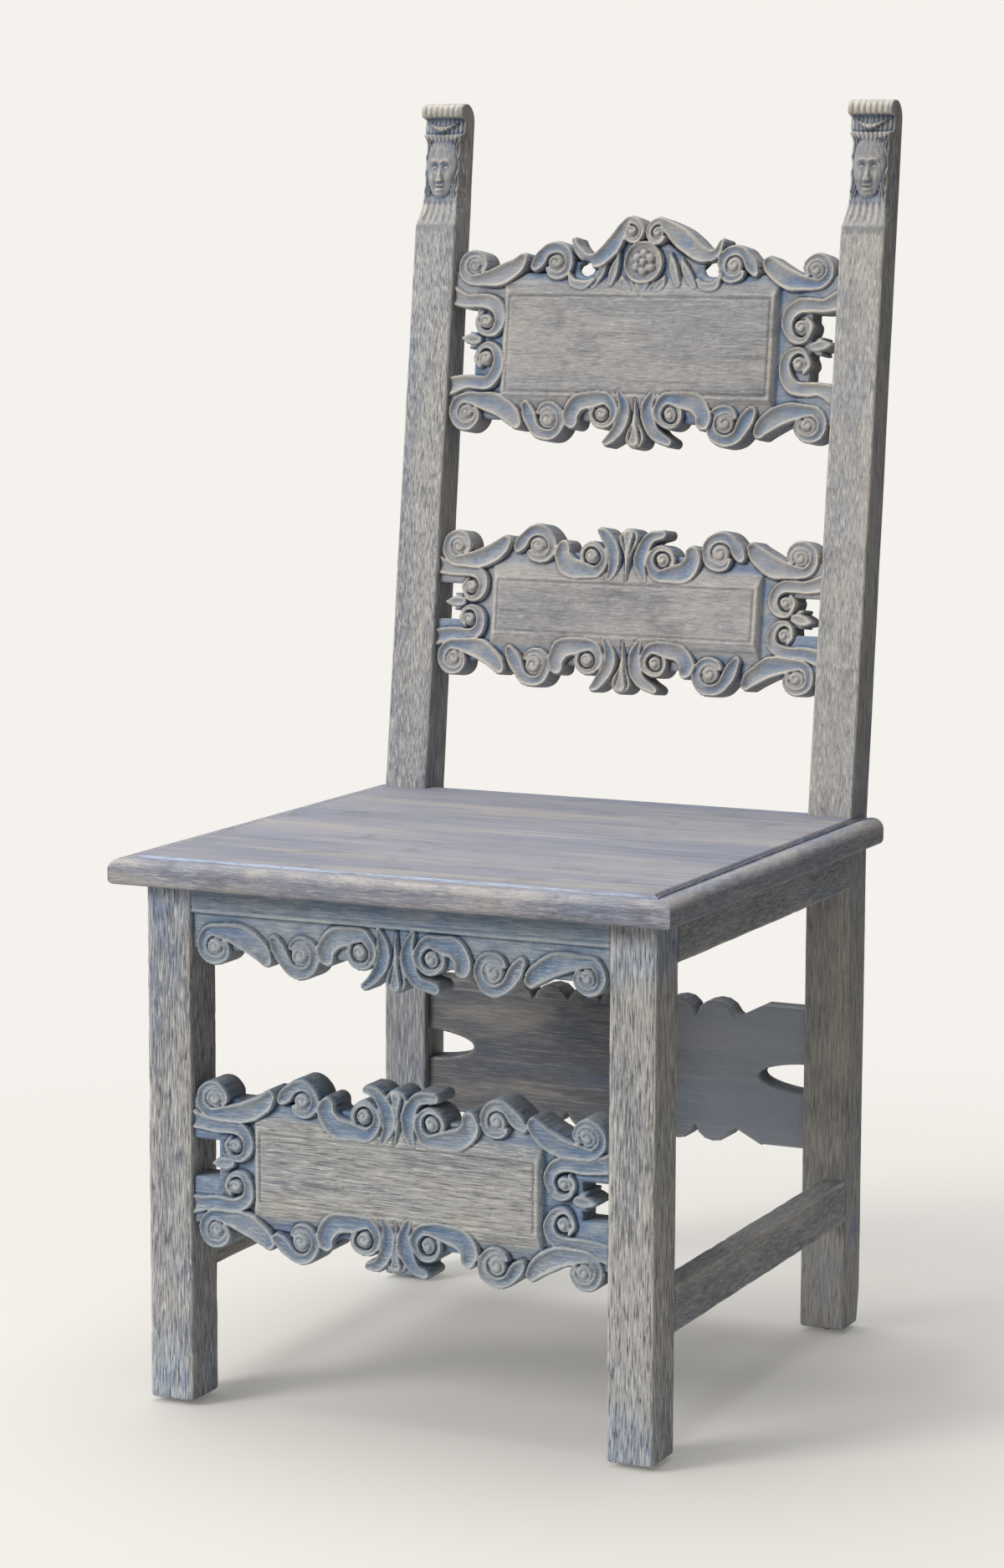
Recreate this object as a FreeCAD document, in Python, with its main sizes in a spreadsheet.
import FreeCAD, Part

import math
import os
import re

import Sketcher

# A high-backed side chair: two front legs, two raked back posts that end in carved heads, four boards carved
# with scrolls, a plain scalloped back stretcher, side rails and stretchers, and a seat panel edged with a
# bullnose moulding. Lengths are in millimetres. Left is the side of -X and right that of +X, as a person who
# faces the chair sees them. The front looks along -Y, and the origin is on the floor under the middle.

SIZES = {
    # The frame
    "leg_span": 470,
    "frame_depth": 494,
    "seat_height": 480,
    "leg_width": 42,
    "leg_depth": 46,
    "post_width": 43,
    "post_depth": 42,
    "post_top_depth": 31,
    "rake_angle": 6.85,
    "edge_bevel": 1.5,
    # The back posts' heels, and the glides under all four feet
    "heel_rise": 30,
    "heel_taper": 6,
    "glide_radius": 8,
    "glide_height": 4,
    "glide_flat": 4,
    "glide_rim": 1,
    # The carved heads: the shoulder's place along the raked post from the seat top, and what stands on it
    "shoulder_length": 532,
    "chest_rise": 21,
    "head_height": 65,
    "cap_height": 29,
    "head_recess": 10,
    "head_bulge": 3,
    "face_half_width": 15,
    "face_half_height": 30,
    "face_depth": 9,
    "cap_recess": 3,
    "roll_radius": 8,
    "crown_round": 16,
    "head_chamfer": 5,
    # The seat
    "seat_thickness": 25,
    "front_overhang": 27,
    "moulding_width": 22,
    "moulding_stop": 13,
    "moulding_round": 6,
    "bullnose_radius": 9,
    "seat_set_back": 14,
    "seat_groove": 1.5,
    # The rails under the seat and the blocks in their corners
    "side_rail_height": 40,
    "side_rail_thickness": 24,
    "back_rail_thickness": 24,
    "back_rail_inset": 8,
    "block_leg": 46,
    "block_height": 28,
    # The side stretchers
    "stretcher_height": 39,
    "stretcher_thickness": 24,
    "stretcher_under": 106,
    # The carved front apron, its plain strip, and the front stretcher
    "apron_drop": 77,
    "apron_strip": 24,
    "apron_thickness": 28,
    "front_board_inset": 1,
    "front_stretcher_height": 160,
    "front_stretcher_under": 137,
    "front_stretcher_thickness": 32,
    "front_panel_height": 66,
    # The carved boards of the back, and the drops from the posts' shoulders to the crest's lower edge and from
    # there to the mid rail's, measured along the raked posts
    "back_board_thickness": 28,
    "back_board_inset": 3,
    "mid_rail_drop": 228,
    "mid_rail_height": 153,
    "mid_panel_height": 54,
    "crest_drop": 204,
    "crest_height": 190,
    "crest_panel_height": 96,
    # The plain back stretcher
    "back_stretcher_under": 166,
    "back_stretcher_height": 134,
    "back_stretcher_thickness": 24,
    "back_stretcher_inset": 8,
    # The carving
    "relief": 6,
    "panel_margin": 60,
    "panel_chamfer": 4,
    "line_inset": 8,
    "line_width": 2,
    "line_depth": 1,
    # The joints
    "tenon_length": 22,
    "tenon_thickness": 10,
    "tenon_shoulder": 6,
    "joint_clearance": 0.15,
    "tenon_end_gap": 0.6,
}

DERIVED = {
    "rake_sin": "sin(rake_angle)",
    "rake_cos": "cos(rake_angle)",
    "inner_front": "leg_span / 2 - leg_width",
    "inner_back": "leg_span / 2 - post_width",
    "neck_length": "shoulder_length + chest_rise",
    "brow_length": "neck_length + head_height",
    "post_length": "brow_length + cap_height",
    "crest_start": "shoulder_length - crest_drop",
    "mid_rail_start": "crest_start - mid_rail_drop",
    "crown_depth": "post_top_depth - crown_round",
    "crown_reach": "(post_length - crown_round) * rake_sin + crown_depth * rake_cos + crown_round",
    "front_y": "(front_overhang - frame_depth + post_depth - crown_reach) / 2",
    "post_y": "front_y + frame_depth - post_depth",
    "seat_under": "seat_height - seat_thickness",
    "side_run": "frame_depth - leg_depth - post_depth",
}

# Scrolls of one quarter of a carved board. Each row has the eye's place along the board and up from its
# centre line, the scroll's radius, the tip of its tail, and the sag of the tail's hollow side as a share of the
# radius. Radii and places along the board are shares of half its length, and heights are shares of half its
# height.
END_SCROLL_SHARES = (0.90, 0.68, 0.098, 0.63, 0.87, 0.55)
ARCH_SCROLL_SHARES = (0.475, 0.75, 0.108, 0.615, 0.84, 0.20)
INNER_SCROLL_SHARES = (0.185, 0.67, 0.094, 0.345, 0.83, 0.60)
SIDE_SCROLL_SHARES = (0.82, 0.205, 0.080, 0.975, 0.43, 0.20)
# The apron has the lower half of the same pattern, drawn out to hang from its strip.
APRON_SHARES = (
    (0.90, 0.60, 0.092, 0.63, 0.88, 0.55),
    (0.475, 0.60, 0.107, 0.60, 0.50, 0.20),
    (0.19, 0.50, 0.092, 0.335, 0.80, 0.60),
)
# The crest's two middle volutes rise above its top edge, between the small hooks at the ends of their tails.
# The pediment's own outline runs under them, with a pierced hole at each end and a rosette in its middle.
PEDIMENT_SHARES = (0.075, 1.09, 0.077, 0.32, 0.84, 0.30)
HOOK_SHARES = (0.36, 0.93, 0.043)
PEDIMENT_OUTLINE_SHARES = ((0.36, 0.0), (0.36, 0.88), (0.28, 0.87), (0.10, 1.08))
PIERCING_SHARES = (0.33, 0.74, 0.034)
ROSETTE_SHARES = (0.0, 0.80, 0.089)
# The leaf that wraps the inner scroll: its tip, outer middle, root and inner middle.
LEAF_SHARES = ((0.19, 0.97), (0.05, 0.76), (0.06, 0.40), (0.11, 0.74))
# The fan leaf over the centre: the half width of its base and top, and the height of base, corner and crown.
FAN_SHARES = (0.012, 0.05, 0.30, 0.93, 1.0)
# The bud between the side scrolls: its root and tip along the board, and its half height.
BUD_SHARES = (0.80, 0.955, 0.10)
# The web behind the carving, the pads at its ends and the tenons in them.
WEB_SHARES = (0.86, 0.68)
PAD_SHARES = (0.33, 0.84)
TENON_SHARES = (0.46, 0.78)
APRON_WEB_SHARE = 0.62
APRON_TENON_SHARES = (0.50, 0.60)
# Where the two sides of a scroll's tail leave its disc, in degrees from the tail's own direction: the hollow
# side at a corner, the full side smoothly.
HOLLOW_ANGLE = 40
FULL_ANGLE = 100
# The lobes of the back stretcher's edges: place along the board, up from its centre line, and radius.
BACK_LOBE_SHARES = ((0.53, 0.72, 0.28), (0.345, 0.72, 0.28), (0.165, 0.70, 0.28), (0.0, 0.72, 0.28))
# Its square ends: their half height, where the edge starts to fall, where it meets the lobes and how high.
BACK_END_SHARES = (0.94, 0.77, 0.60, 0.74)
BACK_WEB_SHARE = 0.74
# The teardrop cut into each end of the back stretcher: its tip along the board, its half height at the post,
# and the place and half height where its sides bulge.
TEARDROP_SHARES = (0.755, 0.19, 0.89, 0.17)

Vector = FreeCAD.Vector
ACROSS = Vector(1, 0, 0)
BACKWARD = Vector(0, 1, 0)
UP = Vector(0, 0, 1)
ORIGIN = Vector(0, 0, 0)
SIDES = {"left": -1, "right": 1}

doc = FreeCAD.newDocument("side_chair")
sheet = doc.addObject("Spreadsheet::Sheet", "Sizes")
cells = {alias: str(number) for alias, number in SIZES.items()}
cells.update({alias: f"={text}" for alias, text in DERIVED.items()})
for row, (alias, content) in enumerate(cells.items(), start=1):
    sheet.set(f"A{row}", alias)
    sheet.set(f"B{row}", content)
    sheet.setAlias(f"B{row}", alias)
doc.recompute()

pieces = []
sockets = {}


def size(alias):
    """One named size, read from the sheet."""
    return float(sheet.get(alias))


def bound(text):
    """The formula with each named size written as the sheet's cell."""
    return re.sub(r"[a-z][a-z_]*", lambda word: f"Sizes.{word[0]}" if word[0] in cells else word[0], text)


def box(name, extent, corner):
    """A block whose size and place follow the sheet."""
    block = doc.addObject("Part::Box", name)
    for side, text in zip(("Length", "Width", "Height"), extent):
        block.setExpression(side, bound(text))
    for axis, text in zip("xyz", corner):
        block.setExpression(f"Placement.Base.{axis}", bound(text))
    return block


def fused(name, parts):
    union = doc.addObject("Part::MultiFuse", name)
    union.Shapes = parts
    union.Refine = True
    return union


def cut(name, base, tools):
    result = doc.addObject("Part::Cut", name)
    result.Base = base
    result.Tool = tools[0] if len(tools) == 1 else fused(f"{name}_tools", tools)
    return result


def solid(name, shape, placement=None):
    """A piece whose shape is worked out below, and then put in its place."""
    feature = doc.addObject("Part::Feature", name)
    feature.Shape = shape
    if placement is not None:
        feature.Placement = placement
    return feature


def piece(name, feature):
    """Marks an object as one of the chair's own pieces."""
    feature.Label = name
    pieces.append(feature)
    return feature


def start(side, near, width):
    """Where a block starts along X if its inner face is this far from the middle, on either side."""
    return near if side > 0 else f"-({near}) - ({width})"


def tenon(name, extent, corner, run, outward, holder):
    """A tenon and, in the piece that holds it, the socket that it goes into with the joint's clearance."""
    grown = [f"{length} + 2 * joint_clearance" for length in extent]
    shifted = [f"{place} - joint_clearance" for place in corner]
    grown[run] = f"{extent[run]} + tenon_end_gap"
    shifted[run] = corner[run] if outward > 0 else f"{corner[run]} - tenon_end_gap"
    sockets.setdefault(holder, []).append(box(f"{name}_socket", grown, shifted))
    return box(f"{name}_tenon", extent, corner)


def edges_where(shape, test):
    """The numbers of the edges whose two ends both pass the test."""
    return [n for n, edge in enumerate(shape.Edges, start=1) if all(test(v.Point) for v in edge.Vertexes)]


def is_upright(edge):
    along = edge.tangentAt(edge.FirstParameter)
    return abs(along.z) > abs(along.x) + abs(along.y)


def front_leg(word, side):
    """A square leg with bevelled corners, also round its foot."""
    corner = (start(side, "inner_front", "leg_width"), "front_y", "glide_height")
    blank = box(f"front_leg_{word}_blank", ("leg_width", "leg_depth", "seat_under - glide_height"), corner)
    doc.recompute()
    upright = [n for n, edge in enumerate(blank.Shape.Edges, start=1) if is_upright(edge)]
    foot = edges_where(blank.Shape, lambda corner: corner.z < size("glide_height") + size("edge_bevel"))
    bevelled = doc.addObject("Part::Chamfer", f"front_leg_{word}_bevelled")
    bevelled.Base = blank
    bevelled.Edges = [(number, size("edge_bevel"), size("edge_bevel")) for number in upright + foot]
    piece(f"front_leg_{word}", cut(f"front_leg_{word}", bevelled, sockets[f"front_leg_{word}"]))


def side_bar(name, word, side, height, thickness, under):
    """A plain bar from the front leg's back face to the post's front face, with a tenon at each end."""
    flush = f"leg_span / 2 - {thickness}"
    corner = (start(side, flush, thickness), "front_y + leg_depth", under)
    bar = box(f"{name}_{word}_bar", (thickness, "side_run", height), corner)
    across = f"leg_span / 2 - ({thickness} + tenon_thickness) / 2"
    extent = ("tenon_thickness", "tenon_length", f"{height} - 2 * tenon_shoulder")
    tenons = []
    for end, y, outward, holder in (
        ("front", "front_y + leg_depth - tenon_length", -1, f"front_leg_{word}"),
        ("back", "post_y", 1, f"back_post_{word}"),
    ):
        corner = (start(side, across, "tenon_thickness"), y, f"{under} + tenon_shoulder")
        tenons.append(tenon(f"{name}_{word}_{end}", extent, corner, 1, outward, holder))
    piece(f"{name}_{word}", fused(f"{name}_{word}", [bar, *tenons]))


def point(x, z, y=0.0):
    return Vector(x, y, z)


def line(first, last):
    return Part.LineSegment(first, last).toShape()


def arc(first, middle, last):
    return Part.Arc(first, middle, last).toShape()


def polygon(points):
    return [line(a, b) for a, b in zip(points, [*points[1:], points[0]])]


def plate(edges, front, back):
    """A flat plate of this outline in the board's own plane, from one depth behind its front to another."""
    face = Part.Face(Part.Wire(edges))
    face.translate(Vector(0, front, 0))
    return face.extrude(Vector(0, back - front, 0))


def slab(left, right, bottom, top, front, back):
    corners = [point(left, bottom), point(right, bottom), point(right, top), point(left, top)]
    return plate(polygon(corners), front, back)


def disc(x, z, radius, front, back):
    return Part.makeCylinder(radius, back - front, Vector(x, front, z), BACKWARD)


def scroll(row, half_length, half_height, thickness):
    """A comma-shaped scroll: a disc round its eye that runs out into a tail, hollow on its outer side."""
    eye = point(row[0] * half_length, row[1] * half_height)
    radius = row[2] * half_length
    tail = point(row[3] * half_length, row[4] * half_height) - eye
    tip = eye + tail
    towards = math.atan2(tail.z, tail.x)
    turn = 1 if tail.x < 0 else -1
    full = towards + turn * math.radians(FULL_ANGLE)
    hollow = towards - turn * math.radians(HOLLOW_ANGLE)
    far = (full + hollow) / 2 + math.pi

    def ray(angle):
        return point(math.cos(angle), math.sin(angle))

    leaves, meets = eye + ray(full) * radius, eye + ray(hollow) * radius
    chord = tip - meets
    sag = point(-chord.z, chord.x) * (turn * row[5] * radius / chord.Length)
    # The full side is an arc that touches the disc where it leaves it, so its centre lies on the same ray.
    offset = (tail.Length ** 2 - radius ** 2) / (2 * (radius - tail.dot(ray(full))))
    centre = eye - ray(full) * offset
    half_way = (tip - centre) + (leaves - centre)
    bulge = centre + half_way * ((radius + offset) / half_way.Length)
    edges = [
        arc(leaves, eye + ray(far) * radius, meets),
        arc(meets, meets + chord / 2 + sag, tip),
        arc(tip, bulge, leaves),
    ]
    return plate(edges, 0, thickness)


def mirrored(shapes, normal):
    return [shape.mirror(ORIGIN, normal) for shape in shapes]


def leaf(half_length, half_height, thickness):
    tip, outside, root, inside = (point(x * half_length, z * half_height) for x, z in LEAF_SHARES)
    return plate([arc(tip, outside, root), arc(root, inside, tip)], 0, thickness)


def fan(half_length, half_height, thickness):
    """A leaf that spreads from the centre line to the board's edge."""
    base = FAN_SHARES[0] * half_length
    top = FAN_SHARES[1] * half_length
    low, corner, crown = (share * half_height for share in FAN_SHARES[2:])
    left, right = point(-top, corner), point(top, corner)
    edges = [
        line(point(-base, low), point(base, low)),
        line(point(base, low), right),
        arc(right, point(0, crown), left),
        line(left, point(-base, low)),
    ]
    return plate(edges, 0, thickness)


def bud(half_length, half_height, thickness):
    root, tip = (share * half_length for share in BUD_SHARES[:2])
    rise = BUD_SHARES[2] * half_height
    return plate(polygon([point(root, -rise), point(tip, 0), point(root, rise)]), 0, thickness)


def panel(half_length, height):
    """The raised centre panel, with bevelled edges and a line cut in just inside them."""
    reach = half_length - size("panel_margin")
    block = slab(-reach, reach, -height / 2, height / 2, 0, size("relief") * 2)
    front = [edge for edge in block.Edges if all(abs(v.Y) < size("line_depth") / 2 for v in edge.Vertexes)]
    block = block.makeChamfer(size("panel_chamfer"), front)
    rims = []
    for inset in (size("line_inset"), size("line_inset") + size("line_width")):
        across, rise = reach - inset, height / 2 - inset
        rims.append(slab(-across, across, -rise, rise, 0, size("line_depth")))
    return block, rims[0].cut(rims[1])


def joined(shapes):
    return shapes[0].multiFuse(shapes[1:]).removeSplitter()


def board_joints(name, half_length, spans, thickness, placement, holders):
    """Tenons at both ends of a board, one for each span of heights, and their sockets in what holds it."""
    front = (thickness - size("tenon_thickness")) / 2
    gap = size("joint_clearance")
    tenons = []
    for word, side in SIDES.items():
        reach = half_length + size("tenon_length")
        for low, high in spans:
            ends = sorted((side * half_length, side * reach))
            tenons.append(slab(*ends, low, high, front, front + size("tenon_thickness")))
            ends = sorted((side * half_length, side * (reach + size("tenon_end_gap"))))
            hole = slab(*ends, low - gap, high + gap, front - gap, front + size("tenon_thickness") + gap)
            holder = f"{holders}_{word}"
            count = len(sockets.setdefault(holder, []))
            sockets[holder].append(solid(f"{name}_{word}_socket_{count}", hole, placement))
    return tenons


def twin_spans(half_height):
    low, high = (share * half_height for share in TENON_SHARES)
    return [(low, high), (-high, -low)]


def scroll_board(name, half_length, height, thickness, panel_height, placement, holders, pediment=False):
    """A board carved with mirrored scrolls round a raised panel, with openings beside the posts."""
    half = height / 2
    ground = size("relief")

    def scrolls(rows):
        return [scroll(row, half_length, half, thickness) for row in rows]

    outer = scrolls((END_SCROLL_SHARES, ARCH_SCROLL_SHARES, SIDE_SCROLL_SHARES))
    inner = [*scrolls((INNER_SCROLL_SHARES,)), leaf(half_length, half, thickness)]
    centre = [fan(half_length, half, thickness).mirror(ORIGIN, UP)]
    holes = []
    if pediment:
        upper = outer + scrolls((PEDIMENT_SHARES,))
        x, z, radius = HOOK_SHARES
        upper.append(disc(x * half_length, z * half, radius * half_length, 0, thickness))
        x, z, radius = ROSETTE_SHARES
        centre.append(disc(x, z * half, radius * half_length, 0, thickness))
        outline = [point(x * half_length, z * half) for x, z in PEDIMENT_OUTLINE_SHARES]
        outline += [point(-corner.x, corner.z) for corner in reversed(outline)]
        centre.append(plate(polygon(outline), ground, thickness))
        x, z, radius = PIERCING_SHARES
        holes = [disc(x * half_length, z * half, radius * half_length, 0, thickness)]
        holes += mirrored(holes, ACROSS)
    else:
        upper = outer + inner
        centre.append(fan(half_length, half, thickness))
    raised = [*upper, *mirrored(outer + inner, UP), bud(half_length, half, thickness)]
    raised += mirrored(raised, ACROSS)
    web, web_top = WEB_SHARES[0] * half_length, WEB_SHARES[1] * half
    low, high = (share * half for share in PAD_SHARES)
    pads = [slab(web, half_length, low, high, ground, thickness)]
    pads += mirrored(pads, UP)
    pads += mirrored(pads, ACROSS)
    middle_panel, panel_line = panel(half_length, panel_height)
    body = [slab(-web, web, -web_top, web_top, ground, thickness), middle_panel, *pads, *raised, *centre]
    carved = joined(body).cut([panel_line, *holes])
    tenons = board_joints(name, half_length, twin_spans(half), thickness, placement, holders)
    piece(name, solid(name, joined([carved, *tenons]), placement))


def apron(name):
    """The front rail: a plain strip under the seat, with half of the scroll pattern hanging from it."""
    half_length = size("inner_front")
    strip = size("apron_strip")
    drop = size("apron_drop") - strip
    thickness = size("apron_thickness")
    ground = size("relief")
    y = size("front_y") + size("front_board_inset")
    placement = FreeCAD.Placement(Vector(0, y, size("seat_under") - strip), FreeCAD.Rotation())
    raised = [scroll(row, half_length, drop, thickness) for row in APRON_SHARES]
    raised.append(leaf(half_length, drop, thickness))
    raised += mirrored(raised, ACROSS)
    raised.append(fan(half_length, drop, thickness))
    web = slab(-half_length, half_length, -APRON_WEB_SHARE * drop, 0, ground, thickness)
    carved = [slab(-half_length, half_length, 0, strip, 0, thickness), web, *mirrored(raised, UP)]
    spans = [(-APRON_TENON_SHARES[0] * drop, APRON_TENON_SHARES[1] * strip)]
    tenons = board_joints(name, half_length, spans, thickness, placement, "front_leg")
    piece(name, solid(name, joined([*carved, *tenons]), placement))


def back_stretcher(name):
    """A plain board with lobed edges and a teardrop cut into each end."""
    half_length = size("inner_back")
    half = size("back_stretcher_height") / 2
    thickness = size("back_stretcher_thickness")
    middle = size("back_stretcher_under") + half
    y = size("post_y") + size("back_stretcher_inset")
    placement = FreeCAD.Placement(Vector(0, y, middle), FreeCAD.Rotation())
    level, fall, foot, foot_height = BACK_END_SHARES
    end = [
        point(foot * half_length, 0),
        point(half_length, 0),
        point(half_length, level * half),
        point(fall * half_length, level * half),
        point(foot * half_length, foot_height * half),
    ]
    upper = [plate(polygon(end), 0, thickness)]
    upper += [disc(x * half_length, z * half, r * half, 0, thickness) for x, z, r in BACK_LOBE_SHARES]
    upper += mirrored(upper, ACROSS)
    reach = foot * half_length
    rise = BACK_WEB_SHARE * half
    web = slab(-reach, reach, -rise, rise, 0, thickness)
    tip = point(TEARDROP_SHARES[0] * half_length, 0)
    mouth, bulge = TEARDROP_SHARES[1] * half, TEARDROP_SHARES[3] * half
    middle = TEARDROP_SHARES[2] * half_length
    edges = [
        arc(tip, point(middle, bulge), point(half_length, mouth)),
        line(point(half_length, mouth), point(half_length, -mouth)),
        arc(point(half_length, -mouth), point(middle, -bulge), tip),
    ]
    drop = plate(edges, 0, thickness)
    board = joined([web, *upper, *mirrored(upper, UP)]).cut([drop, *mirrored([drop], ACROSS)])
    tenons = board_joints(name, half_length, twin_spans(half), thickness, placement, "back_post")
    piece(name, solid(name, joined([board, *tenons]), placement))


def raked(depth, length):
    """A place on the back posts: this far behind their front plane, and this far up from the seat top."""
    y = size("post_y") + depth * size("rake_cos") + length * size("rake_sin")
    z = size("seat_height") - depth * size("rake_sin") + length * size("rake_cos")
    return Vector(0, y, z)


def raked_placement(depth, length):
    return FreeCAD.Placement(raked(depth, length), FreeCAD.Rotation(ACROSS, -size("rake_angle")))


def post_outline():
    """The post's side outline, from the heel up its front, over the carved head and down its tapered back."""
    front, depth = size("post_y"), size("post_depth")
    bottom, recess = size("glide_height"), size("head_recess")
    neck, brow, top = size("neck_length"), size("brow_length"), size("post_length")
    roll, crown, middle = size("roll_radius"), size("crown_round"), size("crown_depth")
    diagonal = math.sqrt(2) / 2
    bend = depth * math.tan(math.radians(size("rake_angle")) / 2)
    heel_top = Vector(0, front + depth, bottom + size("heel_rise"))
    heel = Vector(0, front + depth - size("heel_taper"), bottom)
    toe = Vector(0, front, bottom)
    under_roll = raked(size("cap_recess"), top - 2 * roll)
    edges = [
        line(toe, raked(0, 0)),
        line(raked(0, 0), raked(0, size("shoulder_length"))),
        line(raked(0, size("shoulder_length")), raked(recess, neck)),
        arc(raked(recess, neck), raked(recess - size("head_bulge"), (neck + brow) / 2), raked(recess, brow)),
        line(raked(recess, brow), under_roll),
        arc(under_roll, raked(0, top - roll), raked(roll, top)),
        line(raked(roll, top), raked(middle, top)),
        arc(
            raked(middle, top),
            raked(middle + crown * diagonal, top - crown + crown * diagonal),
            raked(middle + crown, top - crown),
        ),
        line(raked(middle + crown, top - crown), raked(depth, bend)),
        line(raked(depth, bend), heel_top),
        line(heel_top, heel),
        line(heel, toe),
    ]
    return Part.Wire(edges)


def face_form():
    """The plain domed form of the face: a slice of a sphere, proud of the head's front."""
    across, rise, proud = size("face_half_width"), size("face_half_height"), size("face_depth")
    radius = (rise ** 2 + proud ** 2) / (2 * proud)
    ball = Part.makeSphere(radius, point(0, 0, radius - proud))
    face = ball.common(slab(-across, across, -rise, rise, -proud, size("head_chamfer")))
    middle = (size("neck_length") + size("brow_length")) / 2
    face.Placement = raked_placement(size("head_recess"), middle)
    return face


def head_chamfers(inner, outer):
    """What is cut from the two front corners of the head, so that it narrows towards the face."""
    low, high = size("neck_length"), size("brow_length")
    step = size("head_chamfer")
    depth = size("head_recess") + 2 * step
    cutters = []
    for edge, inward in ((inner, 1), (outer, -1)):
        corners = [Vector(edge, 0, low), Vector(edge + inward * step, 0, low), Vector(edge, depth, low)]
        prism = Part.Face(Part.Wire(polygon(corners))).extrude(UP * (high - low))
        prism.Placement = raked_placement(0, 0)
        cutters.append(prism)
    return cutters


def back_post(word, side):
    """A back leg and post in one piece: upright to the seat, raked above it, and carved at the top."""
    inner = side * size("inner_back")
    outer = side * size("leg_span") / 2
    edges = sorted((inner, outer))
    blank = Part.Face(post_outline()).extrude(ACROSS * size("post_width"))
    blank.translate(ACROSS * edges[0])
    face = face_form()
    face.translate(ACROSS * ((inner + outer) / 2))
    carved = blank.cut(head_chamfers(*edges)).fuse(face).removeSplitter()
    doc.recompute()
    holes = [socket.Shape for socket in sockets[f"back_post_{word}"]]
    piece(f"back_post_{word}", solid(f"back_post_{word}", carved.cut(holes)))


def glide(word, side, width, y):
    """A domed steel glide, under the middle of a foot."""
    body = doc.addObject("PartDesign::Body", f"glide_{word}")
    sketch = body.newObject("Sketcher::SketchObject", f"glide_{word}_half")
    upright = next(f for f in body.Origin.OriginFeatures if f.Role == "XZ_Plane")
    sketch.AttachmentSupport = [(upright, "")]
    sketch.MapMode = "FlatFace"
    profile = [
        ("0", "0"),
        ("glide_flat", "0"),
        ("glide_radius", "glide_height - glide_rim"),
        ("glide_radius", "glide_height"),
        ("0", "glide_height"),
    ]
    places = [Vector(plain(x), plain(z), 0) for x, z in profile]
    for first, last in zip(places, [*places[1:], places[0]]):
        sketch.addGeometry(Part.LineSegment(first, last), False)
    for number, (x, z) in enumerate(profile):
        before = (number - 1) % len(profile)
        sketch.addConstraint(Sketcher.Constraint("Coincident", before, 2, number, 1))
        for kind, axis, text in (("DistanceX", -2, x), ("DistanceY", -1, z)):
            if text == "0":
                sketch.addConstraint(Sketcher.Constraint("PointOnObject", number, 1, axis))
            else:
                constraint = sketch.addConstraint(Sketcher.Constraint(kind, -1, 1, number, 1, plain(text)))
                sketch.setExpression(f"Constraints[{constraint}]", bound(text))
    turned = body.newObject("PartDesign::Revolution", f"glide_{word}_turned")
    turned.Profile = sketch
    turned.ReferenceAxis = (sketch, ["V_Axis"])
    turned.Angle = 360
    body.setExpression("Placement.Base.x", bound(f"{side} * (leg_span - {width}) / 2"))
    body.setExpression("Placement.Base.y", bound(y))
    return body


def plain(text):
    """The number that a formula comes to now, worked out in a spare cell of the sheet."""
    spare = f"D{len(cells) + 1}"
    sheet.set(spare, f"={text}")
    sheet.recompute()
    return float(sheet.get(spare))


def seat_panel():
    """The seat board, notched round the posts, with its top edges bevelled beside the moulding."""
    front = "front_y - front_overhang + moulding_width"
    depth = "post_y + seat_set_back - front_y + front_overhang - moulding_width"
    extent = ("leg_span", depth, "seat_thickness")
    blank = box("seat_panel_blank", extent, ("-leg_span / 2", front, "seat_under"))
    doc.recompute()
    high = size("seat_height") - size("seat_groove") / 2
    back = size("post_y")
    bevelled = []
    for number, edge in enumerate(blank.Shape.Edges, start=1):
        middle = edge.valueAt((edge.FirstParameter + edge.LastParameter) / 2)
        if middle.z > high and middle.y < back:
            bevelled.append(number)
    bevel = doc.addObject("Part::Chamfer", "seat_panel_bevelled")
    bevel.Base = blank
    bevel.Edges = [(number, size("seat_groove"), size("seat_groove")) for number in bevelled]
    notches = []
    for word, side in SIDES.items():
        extent = ("post_width + 2 * joint_clearance", "post_depth", "seat_thickness")
        across = start(side, "inner_back - joint_clearance", extent[0])
        notches.append(box(f"seat_notch_{word}", extent, (across, "post_y - joint_clearance", "seat_under")))
    piece("seat_panel", cut("seat_panel", bevel, notches))


def moulding_bar(length):
    """A bullnose bar along +X: its inner face on the line y = 0, its top at z = 0, its nose towards -Y."""
    width, height = size("moulding_width"), size("seat_thickness")
    nose, groove = size("bullnose_radius"), size("seat_groove")
    diagonal = nose - nose * math.sqrt(2) / 2
    lower = nose / 2
    foot = lower - lower * math.sqrt(2) / 2

    def at(y, z):
        return Vector(0, y, z)

    edges = [
        line(at(0, -height), at(0, -groove)),
        line(at(0, -groove), at(-groove, 0)),
        line(at(-groove, 0), at(nose - width, 0)),
        arc(at(nose - width, 0), at(diagonal - width, -diagonal), at(-width, -nose)),
        line(at(-width, -nose), at(-width, lower - height)),
        arc(at(-width, lower - height), at(foot - width, foot - height), at(lower - width, -height)),
        line(at(lower - width, -height), at(0, -height)),
    ]
    return Part.Face(Part.Wire(edges)).extrude(ACROSS * length)


def mitred(length, plan, corner, turn):
    """A length of the moulding, cut to a plan outline, then turned about its start and put in its place."""
    keep = Part.Face(Part.Wire(plan)).extrude(UP * -size("seat_thickness"))
    bar = moulding_bar(length).common(keep)
    bar.Placement = FreeCAD.Placement(corner, FreeCAD.Rotation(UP, turn))
    return bar


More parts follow.
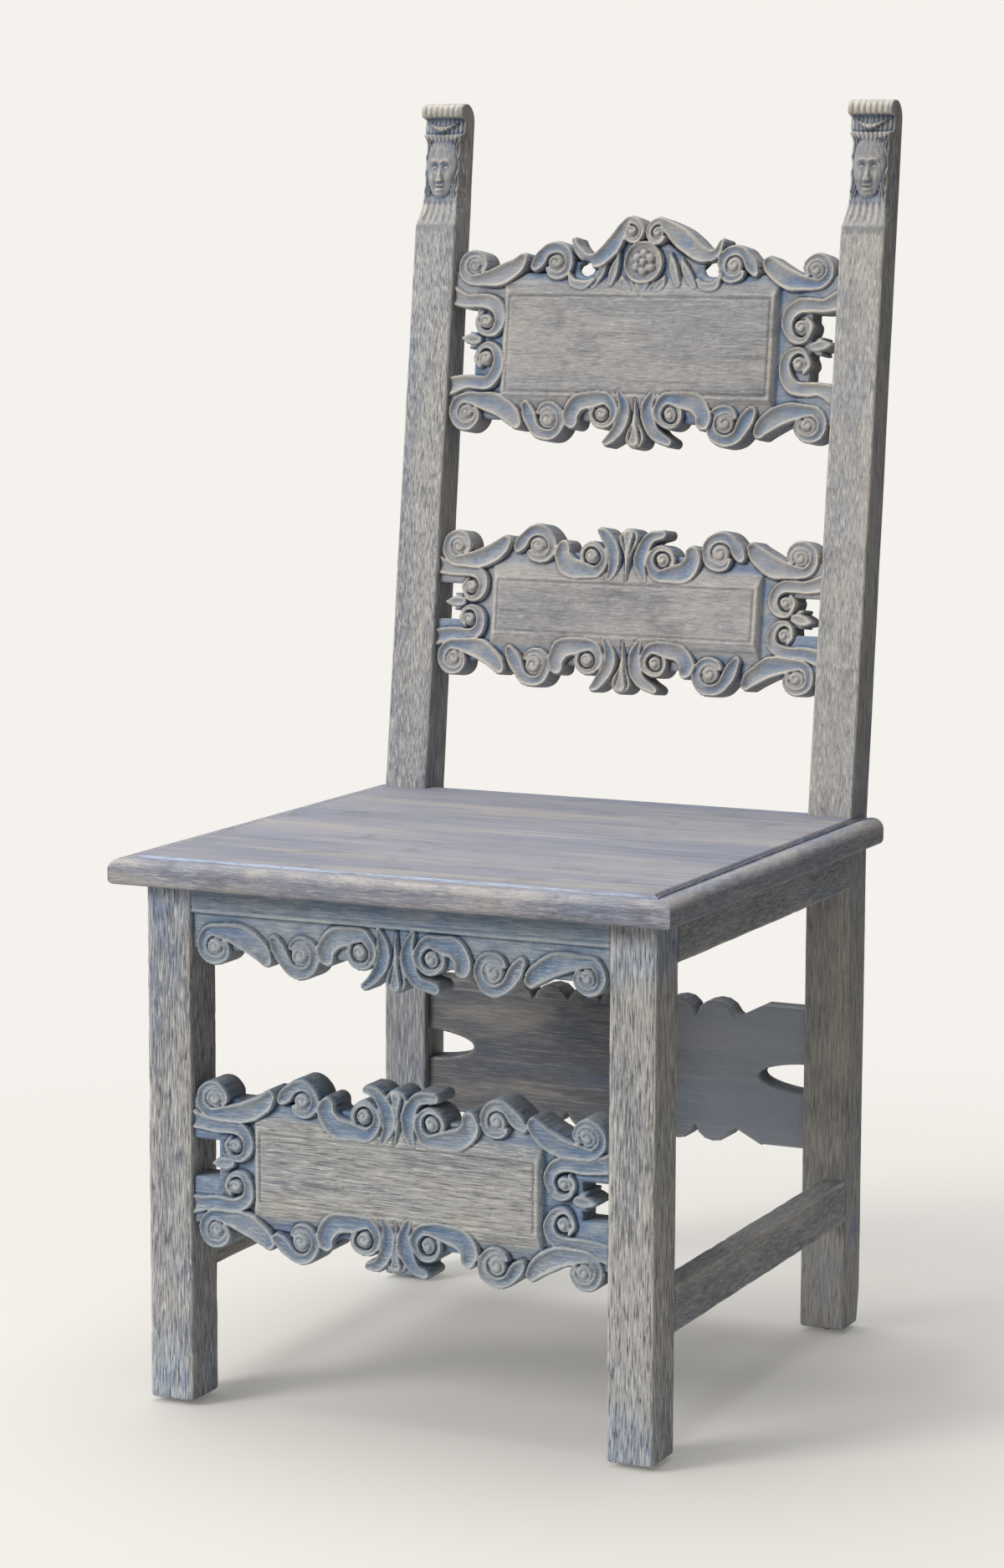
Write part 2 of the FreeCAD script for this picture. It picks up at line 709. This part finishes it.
def seat_mouldings():
    """The front and side mouldings, mitred at the front corners and rounded off behind."""
    width, span = size("moulding_width"), size("leg_span")
    top = size("seat_height")
    nose_y = size("front_y") - size("front_overhang")
    length = span + 2 * width
    corners = [Vector(0, -width), Vector(length, -width), Vector(length - width, 0), Vector(width, 0)]
    bar = mitred(length, polygon(corners), Vector(-length / 2, nose_y + width, top), 0)
    piece("seat_moulding_front", solid("seat_moulding_front", bar))
    length = size("post_y") + size("post_depth") - size("moulding_stop") - nose_y
    radius = size("moulding_round")
    near = radius - radius * math.sqrt(2) / 2
    before, after = Vector(length - radius, -width), Vector(length, radius - width)
    plan = [
        line(Vector(0, -width), before),
        arc(before, Vector(length - near, near - width), after),
        line(after, Vector(length, 0)),
        line(Vector(length, 0), Vector(width, 0)),
        line(Vector(width, 0), Vector(0, -width)),
    ]
    bar = mitred(length, plan, Vector(span / 2, nose_y, top), 90)
    piece("seat_moulding_right", solid("seat_moulding_right", bar))
    piece("seat_moulding_left", solid("seat_moulding_left", bar.mirror(ORIGIN, ACROSS)))


def corner_block(end, word, side):
    """A glued block that braces two rails, cut to fit the corner of the leg or post between them."""
    reach = size("block_leg")
    rail = size("leg_span") / 2 - size("side_rail_thickness")
    if end == "front":
        inner, away = size("inner_front"), 1
        rail_y = size("front_y") + size("front_board_inset") + size("apron_thickness")
        leg_y = size("front_y") + size("leg_depth")
    else:
        inner, away = size("inner_back"), -1
        rail_y = size("post_y") + size("back_rail_inset")
        leg_y = size("post_y")
    by_leg = [(inner, rail_y), (inner, leg_y), (rail, leg_y)]
    corners = [(inner - reach, rail_y), *by_leg, (rail, leg_y + away * reach)]
    bottom = size("seat_under") - size("block_height")
    edges = polygon([Vector(side * x, y, bottom) for x, y in corners])
    block = Part.Face(Part.Wire(edges)).extrude(UP * size("block_height"))
    piece(f"corner_block_{end}_{word}", solid(f"corner_block_{end}_{word}", block))


def back_seat_rail():
    """The plain rail under the back of the seat, tenoned into both posts."""
    length = "2 * inner_back"
    under = "seat_under - side_rail_height"
    y = "post_y + back_rail_inset"
    extent = (length, "back_rail_thickness", "side_rail_height")
    bar = box("back_seat_rail_bar", extent, ("-inner_back", y, under))
    extent = ("tenon_length", "tenon_thickness", "side_rail_height - 2 * tenon_shoulder")
    tenons = []
    for word, side in SIDES.items():
        corner = (
            start(side, "inner_back", "tenon_length"),
            f"{y} + (back_rail_thickness - tenon_thickness) / 2",
            f"{under} + tenon_shoulder",
        )
        tenons.append(tenon(f"back_seat_rail_{word}", extent, corner, 0, side, f"back_post_{word}"))
    piece("back_seat_rail", fused("back_seat_rail", [bar, *tenons]))


def front_place(bottom, height):
    y = size("front_y") + size("front_board_inset")
    return FreeCAD.Placement(Vector(0, y, bottom + height / 2), FreeCAD.Rotation())


def raked_place(first, height):
    return raked_placement(size("back_board_inset"), first + height / 2)


front_height = size("front_stretcher_height")
scroll_board(
    "front_stretcher",
    size("inner_front"),
    front_height,
    size("front_stretcher_thickness"),
    size("front_panel_height"),
    front_place(size("front_stretcher_under"), front_height),
    "front_leg",
)
apron("front_apron")
for name, first, height, panel_height in (
    ("mid_rail", size("mid_rail_start"), size("mid_rail_height"), size("mid_panel_height")),
    ("crest_rail", size("crest_start"), size("crest_height"), size("crest_panel_height")),
):
    place = raked_place(first, height)
    thickness = size("back_board_thickness")
    crowned = name == "crest_rail"
    scroll_board(name, size("inner_back"), height, thickness, panel_height, place, "back_post", crowned)
back_stretcher("back_stretcher")
back_seat_rail()
for word, side in SIDES.items():
    rail_under = "seat_under - side_rail_height"
    side_bar("side_seat_rail", word, side, "side_rail_height", "side_rail_thickness", rail_under)
    side_bar("side_stretcher", word, side, "stretcher_height", "stretcher_thickness", "stretcher_under")
bodies = []
for word, side in SIDES.items():
    front_leg(word, side)
    back_post(word, side)
    bodies.append(glide(f"front_{word}", side, "leg_width", "front_y + leg_depth / 2"))
    bodies.append(glide(f"back_{word}", side, "post_width", "post_y + (post_depth - heel_taper) / 2"))
    corner_block("front", word, side)
    corner_block("back", word, side)
glides = doc.addObject("Part::Compound", "glides")
glides.Links = bodies
piece("glides", glides)
seat_panel()
seat_mouldings()

doc.recompute()
for feature in doc.Objects:
    if "Invalid" in feature.State or "Error" in feature.State:
        raise RuntimeError(f"{feature.Name} failed")
for feature in pieces:
    if feature.Shape.isNull() or not feature.Shape.isValid():
        raise RuntimeError(f"{feature.Label} has no valid shape")
os.makedirs("parts", exist_ok=True)
for feature in pieces:
    feature.Shape.exportStep(f"parts/{feature.Label}.step")
    print(f"{feature.Label}: {len(feature.Shape.Solids)} solid, {feature.Shape.Volume:.0f} cubic mm")
